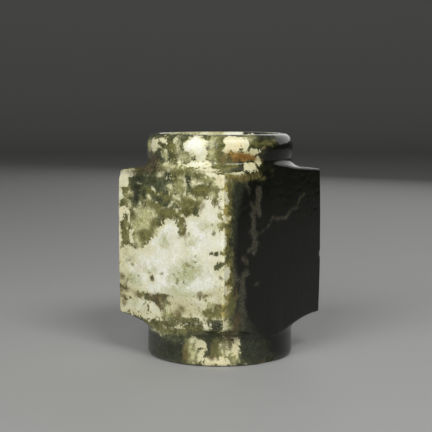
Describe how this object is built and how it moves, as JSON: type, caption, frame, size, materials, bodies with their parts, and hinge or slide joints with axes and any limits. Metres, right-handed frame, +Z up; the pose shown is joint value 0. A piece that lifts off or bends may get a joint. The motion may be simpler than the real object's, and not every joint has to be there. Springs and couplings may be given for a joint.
{
  "type": "jade cong",
  "caption": "Square block of mottled green and cream jade on a round tube that shows as a rounded collar above and a foot below, bored through from end to end.",
  "frame": {"origin": "middle of the foot's underside, where the cong stands", "axes": "+Z up along the bore; the block's four faces look along X and Y, and the face with the large pale cloud looks along -Y"},
  "size_m": [0.0778, 0.0778, 0.116],
  "materials": {
    "jade": "polished, with calcified patches"
  },
  "bodies": {
    "root": {"jade_cong": "jade"}
  },
  "joints": []
}
